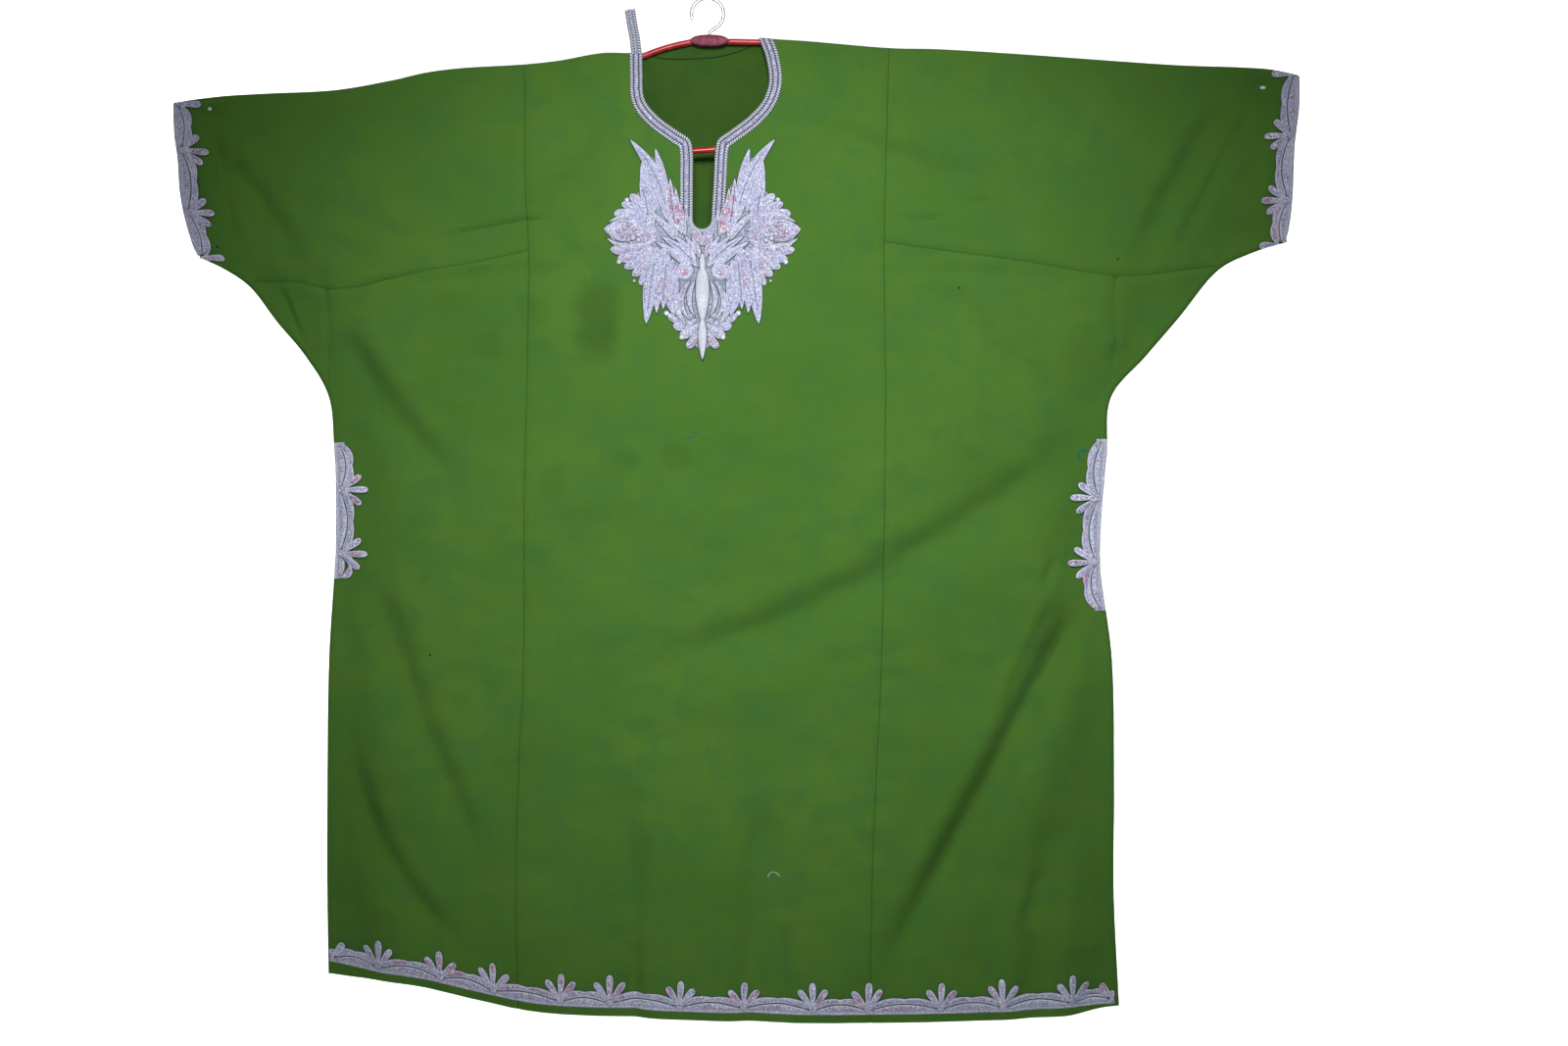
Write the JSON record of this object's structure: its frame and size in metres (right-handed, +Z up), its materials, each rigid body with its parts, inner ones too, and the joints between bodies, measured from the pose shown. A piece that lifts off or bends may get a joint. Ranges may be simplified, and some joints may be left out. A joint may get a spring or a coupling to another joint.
{
  "type": "embroidered pheran tunic on a clothes hanger",
  "caption": "Loose green wool pheran with metal-thread embroidery at the neck, hem, cuffs and hand slits, hanging spread on a thin tube clothes hanger.",
  "frame": {"origin": "inside top of the hanger's hook, where a rail carries it", "axes": "+Z up, -Y to the front of the garment, +X to the wearer's left, along the spread sleeves"},
  "size_m": [1.2623, 0.0704, 1.1462],
  "materials": {
    "wool": "matte brushed wool, bright green",
    "tilla": "couched silver-lavender metal thread with a fine glitter",
    "hanger_red": "glossy red plastic tube",
    "hanger_mauve": "satin mauve plastic",
    "steel": "bright steel wire"
  },
  "bodies": {
    "root": {"front_panel": "wool", "back_panel": "wool", "sleeve_left": "wool", "sleeve_right": "wool", "gusset_left": "wool", "gusset_right": "wool", "front_side_left": "wool", "front_side_right": "wool", "back_side_left": "wool", "back_side_right": "wool", "neck_braid": "tilla", "neck_motif": "tilla", "hem_border_front": "tilla", "hem_border_back": "tilla", "cuff_border_left": "tilla", "cuff_border_right": "tilla", "hem_border_front_left": "tilla", "pocket_border_front_left": "tilla", "hem_border_back_left": "tilla", "pocket_border_back_left": "tilla", "hem_border_front_right": "tilla", "pocket_border_front_right": "tilla", "hem_border_back_right": "tilla", "pocket_border_back_right": "tilla", "hanger_tube": "hanger_red", "hanger_boss": "hanger_mauve", "hook": "steel"}
  },
  "joints": []
}
